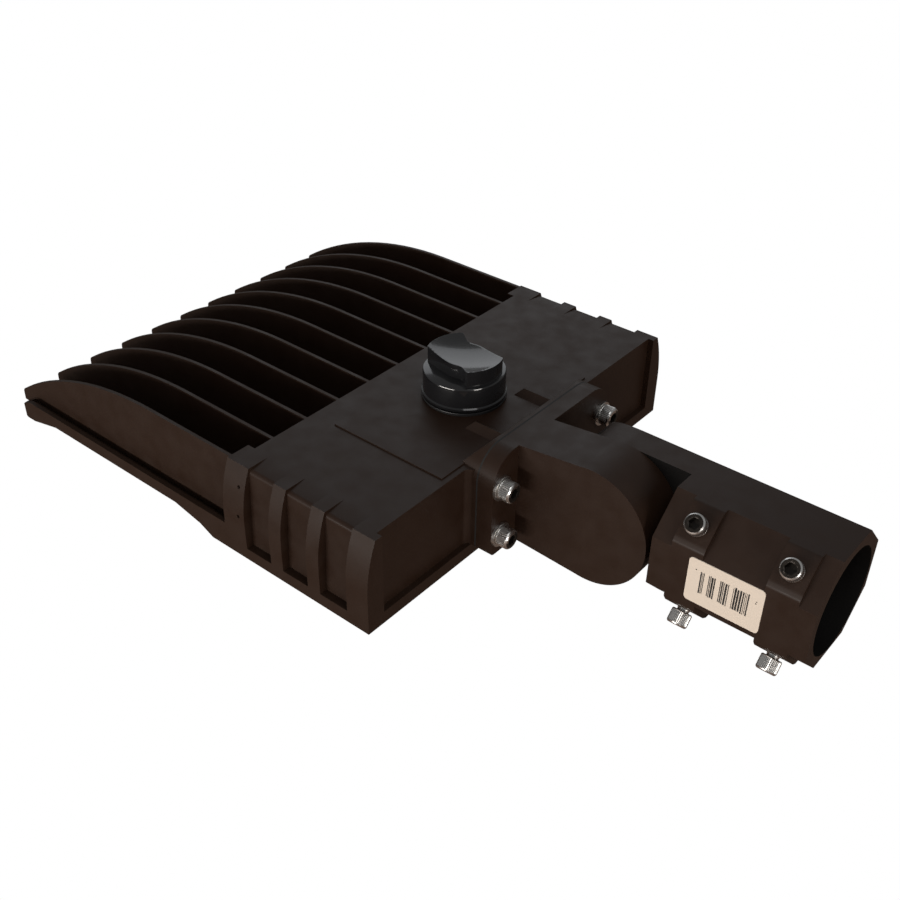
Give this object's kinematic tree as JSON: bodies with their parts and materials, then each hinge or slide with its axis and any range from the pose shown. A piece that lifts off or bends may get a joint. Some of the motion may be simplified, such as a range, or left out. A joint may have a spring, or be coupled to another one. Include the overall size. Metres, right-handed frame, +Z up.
{
  "type": "shoebox area light",
  "caption": "Finned shoebox area light head on a tilting slip fitter for a round pole tenon, with a capped light sensor socket.",
  "frame": {"origin": "centre of the tenon socket's mouth, on its axis", "axes": "+X out of the socket's mouth towards the pole, +Z up when the head is level, +Y to the left of the head seen from the pole; the head reaches towards -X"},
  "size_m": [0.5415, 0.3, 0.0964],
  "materials": {
    "cast_bronze": "fine textured powder coat on a die casting",
    "stainless": "bright machined",
    "black_plastic": "satin moulded",
    "gloss_black": "gloss moulded",
    "grey_plastic": "satin moulded",
    "black_rubber": "matt silicone",
    "clear_lens": "clear polycarbonate",
    "white_board": "white solder mask on an aluminium board",
    "led_yellow": "phosphor",
    "pad_grey": "soft heat pad",
    "driver_case": "bare extruded case",
    "brass": "plain",
    "ground_green": "green plated",
    "wire_red": "insulated wire",
    "label_white": "paper label with printed bars"
  },
  "bodies": {
    "slip_fitter": {"slip_fitter": "cast_bronze", "barcode_label": "label_white", "pivot_washer": "stainless"},
    "head": {"housing": "cast_bronze", "lens_frame": "cast_bronze", "lens_gasket": "black_rubber", "lens_plate": "clear_lens", "lens_screws": "stainless", "led_board": "white_board", "leds": "led_yellow", "thermal_pad": "pad_grey", "board_screws": "stainless", "door_hinge_pins": "stainless", "led_driver": "driver_case", "driver_screws": "stainless", "surge_protector": "black_plastic", "terminal_block": "grey_plastic", "ground_screw": "ground_green", "led_lead": "wire_red", "receptacle_gasket": "black_rubber", "knuckle_arm": "cast_bronze", "arm_gasket": "black_rubber", "arm_bolts": "stainless", "arm_washers": "stainless", "pivot_bolt": "stainless"},
    "driver_door": {"driver_door": "cast_bronze", "door_gasket": "black_rubber", "door_screws": "stainless", "vent_plug": "black_plastic"},
    "receptacle": {"photocell_receptacle": "black_plastic", "receptacle_ring": "grey_plastic", "receptacle_contacts": "brass"},
    "cap": {"shorting_cap": "gloss_black", "shorting_blades": "brass", "cap_seal": "black_rubber"},
    "upper_front_screw": {"upper_front_set_screw": "stainless"},
    "upper_rear_screw": {"upper_rear_set_screw": "stainless"},
    "lower_front_screw": {"lower_front_set_screw": "stainless"},
    "lower_rear_screw": {"lower_rear_set_screw": "stainless"}
  },
  "joints": [
    {"name": "head_tilt", "type": "hinge", "parent": "slip_fitter", "child": "head", "pos_m": [-0.1385, 0, 0], "axis": [0, 1, 0], "range_deg": [-90, 90]},
    {"name": "door_swing", "type": "hinge", "parent": "head", "child": "driver_door", "pos_m": [-0.3265, 0, -0.0401], "axis": [0, 1, 0], "range_deg": [0, 90]},
    {"name": "receptacle_turn", "type": "hinge", "parent": "head", "child": "receptacle", "pos_m": [-0.2587, 0, 0.0242], "axis": [0, 0, 1], "range_deg": [-165, 165]},
    {"name": "cap_lift", "type": "slide", "parent": "receptacle", "child": "cap", "axis": [0, 0, 1], "range_m": [0, 0.05]},
    {"name": "upper_front_screw_travel", "type": "slide", "parent": "slip_fitter", "child": "upper_front_screw", "axis": [0, 0.7071, -0.7071], "range_m": [-0.006, 0.0015]},
    {"name": "lower_front_screw_travel", "type": "slide", "parent": "slip_fitter", "child": "lower_front_screw", "axis": [0, 0.7071, 0.7071], "range_m": [-0.006, 0.0015]},
    {"name": "upper_rear_screw_travel", "type": "slide", "parent": "slip_fitter", "child": "upper_rear_screw", "axis": [0, 0.7071, -0.7071], "range_m": [-0.006, 0.0015]},
    {"name": "lower_rear_screw_travel", "type": "slide", "parent": "slip_fitter", "child": "lower_rear_screw", "axis": [0, 0.7071, 0.7071], "range_m": [-0.006, 0.0015]}
  ]
}
